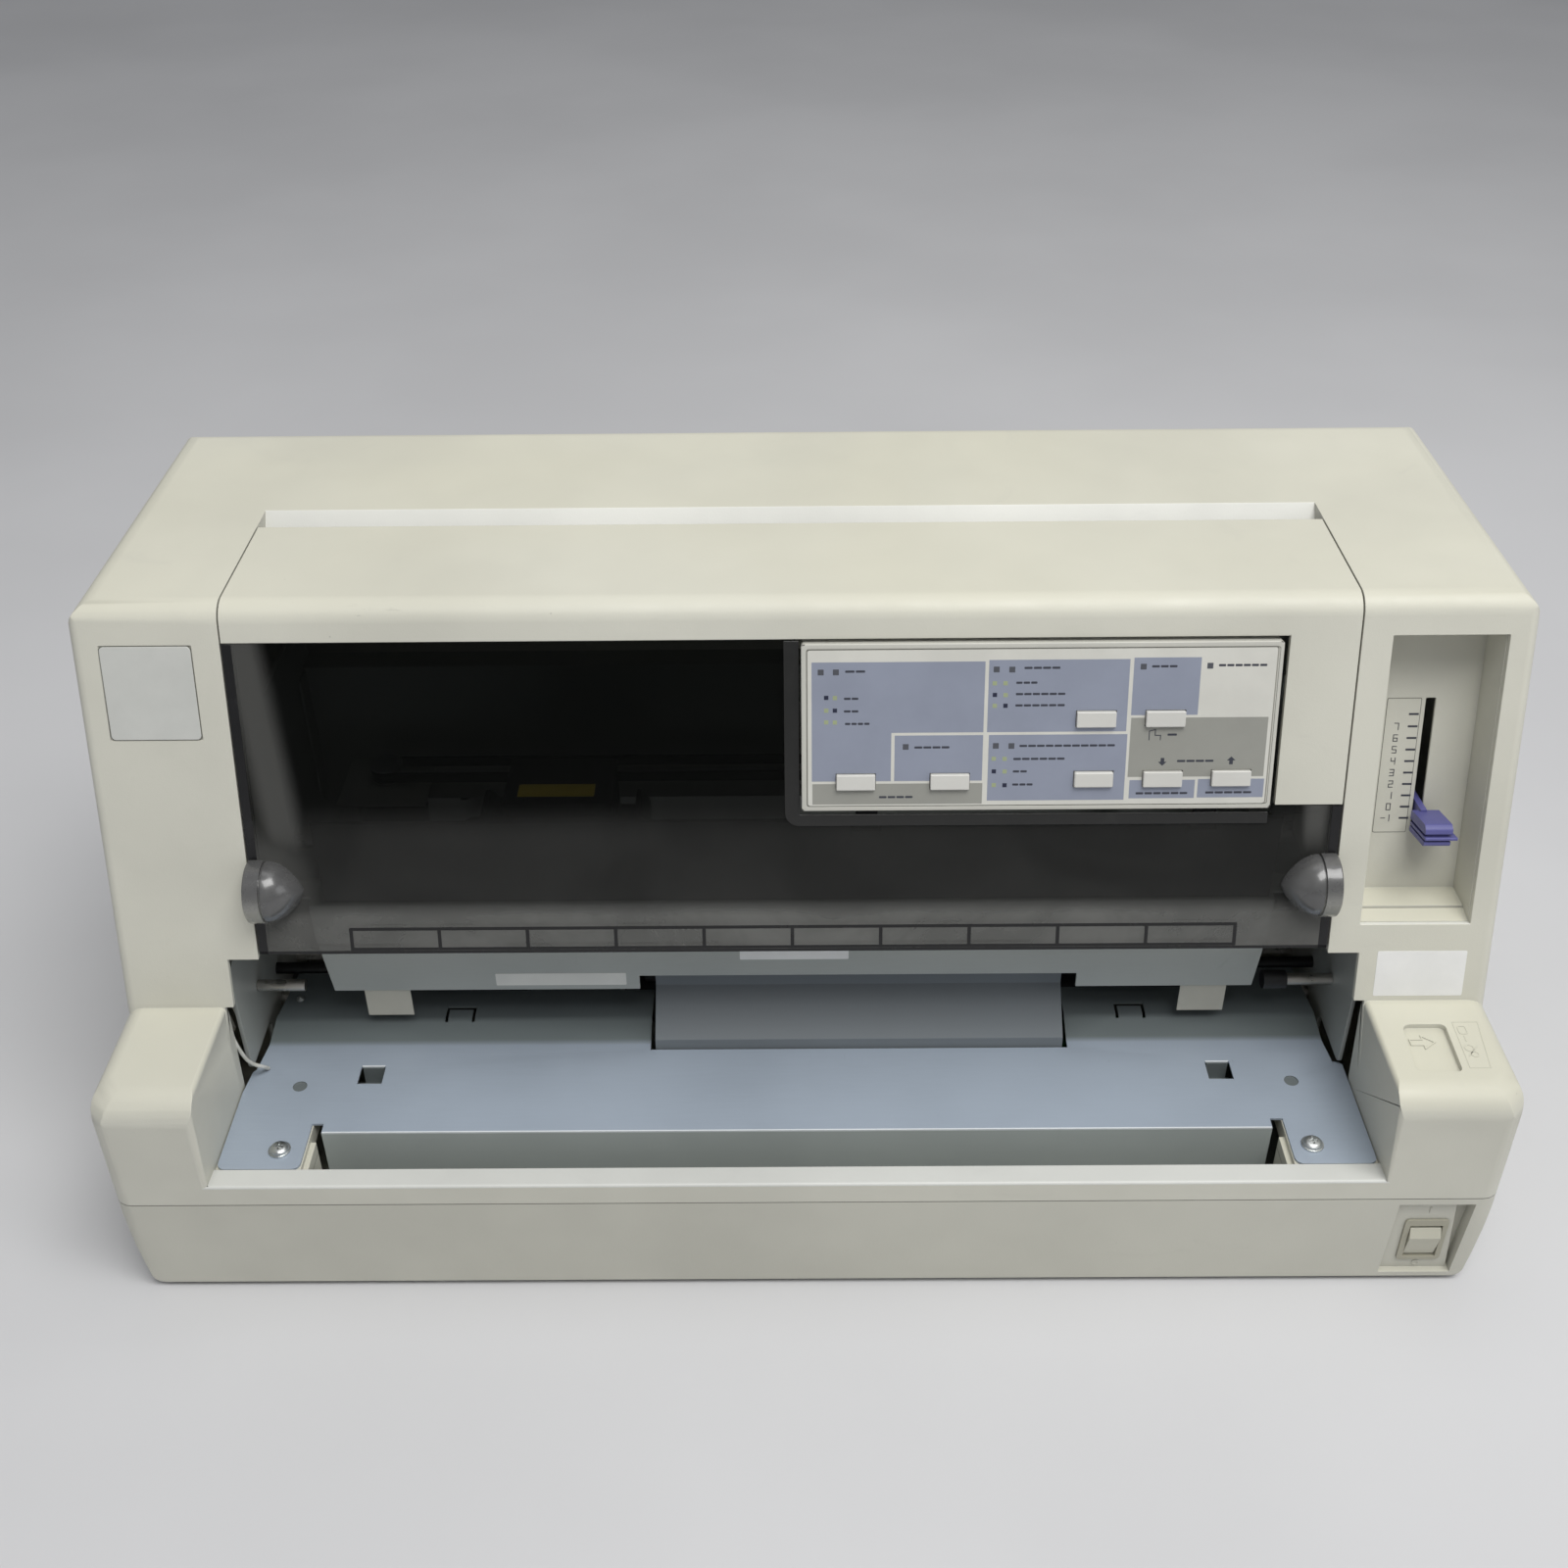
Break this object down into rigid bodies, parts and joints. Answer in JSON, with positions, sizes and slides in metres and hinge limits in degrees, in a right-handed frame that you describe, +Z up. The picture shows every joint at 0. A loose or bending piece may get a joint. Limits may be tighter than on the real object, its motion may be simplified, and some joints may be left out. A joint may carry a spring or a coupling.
{
  "type": "dot matrix printer",
  "caption": "Wide flat-bed dot matrix printer with a hinged smoke-window cover, front paper table, print carriage, feed rollers, rear tractor and push-button panel.",
  "frame": {"origin": "centre of the footprint, on the surface the rubber feet stand on", "axes": "+X to the right seen from the front, +Y towards the rear, +Z up"},
  "size_m": [0.639, 0.35, 0.308],
  "materials": {
    "case": "fine moulded texture, slightly yellowed",
    "case_lower": "fine moulded texture",
    "window": "smoke, translucent",
    "badge": "blank foil plate",
    "insert": "moulded",
    "violet": "moulded violet-blue",
    "panel": "moulded",
    "overlay": "printed film without lettering",
    "board": "circuit board",
    "button": "moulded off-white",
    "table": "bluish grey coated steel",
    "film": "pale film",
    "grey_steel": "galvanised sheet",
    "black_plastic": "black moulding",
    "shaft": "ground steel",
    "roller": "black rubber on steel shafts",
    "gear": "white gear plastic",
    "brass": "pressed brass",
    "motor": "black motor can",
    "head": "black anodised",
    "knob": "dark grey",
    "belt": "toothed belt",
    "pulley": "turned",
    "psu": "sheet steel box",
    "socket": "blue connector moulding",
    "switch": "grey beige bezel",
    "rocker": "grey beige rocker",
    "feet": "black rubber",
    "screw": "zinc plated"
  },
  "bodies": {
    "root": {"lower_case": "case_lower", "upper_case": "case", "badge_plate": "badge", "lever_panel": "insert", "panel_housing": "panel", "panel_overlay": "overlay", "panel_board": "board", "front_table": "table", "centre_guide": "table", "film_tabs": "film", "front_beam": "grey_steel", "inner_guard": "black_plastic", "stub_shafts": "shaft", "side_frame_left": "grey_steel", "side_frame_right": "grey_steel", "base_frame": "grey_steel", "rear_frame": "grey_steel", "rear_table": "grey_steel", "paper_motor": "motor", "carriage_shaft": "shaft", "timing_belt": "belt", "carriage_motor": "motor", "tractor_bar": "shaft", "main_board": "board", "power_supply": "psu", "mains_inlet": "black_plastic", "interface_socket": "socket", "power_switch": "switch", "rubber_feet": "feet", "fasteners": "screw"},
    "cover": {"printer_cover": "case", "cover_window": "window"},
    "lever": {"thickness_lever": "violet"},
    "rocker": {"power_rocker": "rocker"},
    "platen": {"platen_roller": "roller"},
    "front_feed": {"front_feed_roller": "roller"},
    "rear_feed": {"rear_feed_roller": "roller"},
    "front_pinch": {"front_pinch_roller": "roller"},
    "rear_pinch": {"rear_pinch_roller": "roller"},
    "idler_front": {"idler_gear_front": "gear"},
    "idler_rear": {"idler_gear_rear": "gear"},
    "pinion": {"motor_pinion": "brass"},
    "carriage": {"carriage": "black_plastic", "print_head": "head", "ribbon_cartridge": "black_plastic"},
    "ribbon_take_up": {"ribbon_knob": "knob"},
    "pulley_drive": {"drive_pulley": "pulley"},
    "pulley_idler": {"idler_pulley": "pulley"},
    "tractor_drive": {"tractor_shaft": "shaft"},
    "tractor_left": {"tractor_unit_left": "black_plastic"},
    "tractor_right": {"tractor_unit_right": "black_plastic"},
    "wheel_left": {"pin_wheel_left": "gear"},
    "wheel_right": {"pin_wheel_right": "gear"},
    "key_1": {"button_1": "button"},
    "key_2": {"button_2": "button"},
    "key_3": {"button_3": "button"},
    "key_4": {"button_4": "button"},
    "key_5": {"button_5": "button"},
    "key_6": {"button_6": "button"},
    "key_7": {"button_7": "button"}
  },
  "joints": [
    {"name": "cover_hinge", "type": "hinge", "parent": "root", "child": "cover", "pos_m": [-0.0055, 0.007, 0.3], "axis": [-1, 0, 0], "range_deg": [0, 80]},
    {"name": "lever_swing", "type": "hinge", "parent": "root", "child": "lever", "pos_m": [0.285, 0.053, 0.1855], "axis": [-1, 0, 0], "range_deg": [0, 22.6]},
    {"name": "rocker_tilt", "type": "hinge", "parent": "root", "child": "rocker", "pos_m": [0.2896, -0.166, 0.0251], "axis": [-1, 0, 0], "range_deg": [0, 14.8]},
    {"name": "key_1_press", "type": "slide", "parent": "root", "child": "key_1", "axis": [0, 0.9681, -0.2504], "range_m": [0, 0.001], "stiffness_N_per_m": 400},
    {"name": "key_2_press", "type": "slide", "parent": "root", "child": "key_2", "axis": [0, 0.9681, -0.2504], "range_m": [0, 0.001], "stiffness_N_per_m": 400},
    {"name": "key_3_press", "type": "slide", "parent": "root", "child": "key_3", "axis": [0, 0.9681, -0.2504], "range_m": [0, 0.001], "stiffness_N_per_m": 400},
    {"name": "key_4_press", "type": "slide", "parent": "root", "child": "key_4", "axis": [0, 0.9681, -0.2504], "range_m": [0, 0.001], "stiffness_N_per_m": 400},
    {"name": "key_5_press", "type": "slide", "parent": "root", "child": "key_5", "axis": [0, 0.9681, -0.2504], "range_m": [0, 0.001], "stiffness_N_per_m": 400},
    {"name": "key_6_press", "type": "slide", "parent": "root", "child": "key_6", "axis": [0, 0.9681, -0.2504], "range_m": [0, 0.001], "stiffness_N_per_m": 400},
    {"name": "key_7_press", "type": "slide", "parent": "root", "child": "key_7", "axis": [0, 0.9681, -0.2504], "range_m": [0, 0.001], "stiffness_N_per_m": 400},
    {"name": "platen_spin", "type": "hinge", "parent": "root", "child": "platen", "pos_m": [0, -0.005, 0.061], "axis": [1, 0, 0], "continuous": true},
    {"name": "front_feed_spin", "type": "hinge", "parent": "root", "child": "front_feed", "pos_m": [0, -0.039, 0.062], "axis": [1, 0, 0], "continuous": true},
    {"name": "rear_feed_spin", "type": "hinge", "parent": "root", "child": "rear_feed", "pos_m": [0, 0.031, 0.062], "axis": [1, 0, 0], "continuous": true},
    {"name": "front_pinch_spin", "type": "hinge", "parent": "root", "child": "front_pinch", "pos_m": [0, -0.039, 0.0824], "axis": [1, 0, 0], "continuous": true},
    {"name": "rear_pinch_spin", "type": "hinge", "parent": "root", "child": "rear_pinch", "pos_m": [0, 0.031, 0.0824], "axis": [1, 0, 0], "continuous": true},
    {"name": "idler_front_spin", "type": "hinge", "parent": "root", "child": "idler_front", "pos_m": [-0.283, -0.02287, 0.06999], "axis": [1, 0, 0], "continuous": true},
    {"name": "idler_rear_spin", "type": "hinge", "parent": "root", "child": "idler_rear", "pos_m": [-0.283, 0.01389, 0.06758], "axis": [1, 0, 0], "continuous": true},
    {"name": "pinion_spin", "type": "hinge", "parent": "root", "child": "pinion", "pos_m": [-0.283, -0.01985, 0.04615], "axis": [1, 0, 0], "continuous": true},
    {"name": "carriage_travel", "type": "slide", "parent": "root", "child": "carriage", "axis": [1, 0, 0], "range_m": [-0.084, 0.316]},
    {"name": "ribbon_take_up_spin", "type": "hinge", "parent": "carriage", "child": "ribbon_take_up", "pos_m": [-0.149, -0.045, 0.163], "axis": [0, 0, 1], "continuous": true},
    {"name": "pulley_drive_spin", "type": "hinge", "parent": "root", "child": "pulley_drive", "pos_m": [-0.228, 0.071, 0.128], "axis": [0, 0, 1], "continuous": true},
    {"name": "pulley_idler_spin", "type": "hinge", "parent": "root", "child": "pulley_idler", "pos_m": [0.216, 0.071, 0.128], "axis": [0, 0, 1], "continuous": true},
    {"name": "tractor_spin", "type": "hinge", "parent": "root", "child": "tractor_drive", "pos_m": [0, 0.127, 0.091], "axis": [1, 0, 0], "continuous": true},
    {"name": "tractor_left_shift", "type": "slide", "parent": "root", "child": "tractor_left", "axis": [1, 0, 0], "range_m": [-0.02, 0.14]},
    {"name": "tractor_right_shift", "type": "slide", "parent": "root", "child": "tractor_right", "axis": [1, 0, 0], "range_m": [-0.14, 0.02]},
    {"name": "wheel_left_spin", "type": "hinge", "parent": "tractor_left", "child": "wheel_left", "pos_m": [-0.19, 0.127, 0.091], "axis": [1, 0, 0], "continuous": true},
    {"name": "wheel_right_spin", "type": "hinge", "parent": "tractor_right", "child": "wheel_right", "pos_m": [0.18, 0.127, 0.091], "axis": [1, 0, 0], "continuous": true}
  ],
  "couplings": [
    {"joint": "front_feed_spin", "follows": "platen_spin", "ratio": 1.1667},
    {"joint": "rear_feed_spin", "follows": "platen_spin", "ratio": 1.1667},
    {"joint": "front_pinch_spin", "follows": "platen_spin", "ratio": -1.75},
    {"joint": "rear_pinch_spin", "follows": "platen_spin", "ratio": -1.75},
    {"joint": "idler_front_spin", "follows": "platen_spin", "ratio": -2.3333},
    {"joint": "idler_rear_spin", "follows": "platen_spin", "ratio": -2.3333},
    {"joint": "pinion_spin", "follows": "platen_spin", "ratio": -2},
    {"joint": "pulley_drive_spin", "follows": "carriage_travel", "rad_per_m": 126.58},
    {"joint": "pulley_idler_spin", "follows": "carriage_travel", "rad_per_m": 126.58},
    {"joint": "wheel_left_spin", "follows": "tractor_spin", "ratio": 1},
    {"joint": "wheel_right_spin", "follows": "tractor_spin", "ratio": 1}
  ]
}
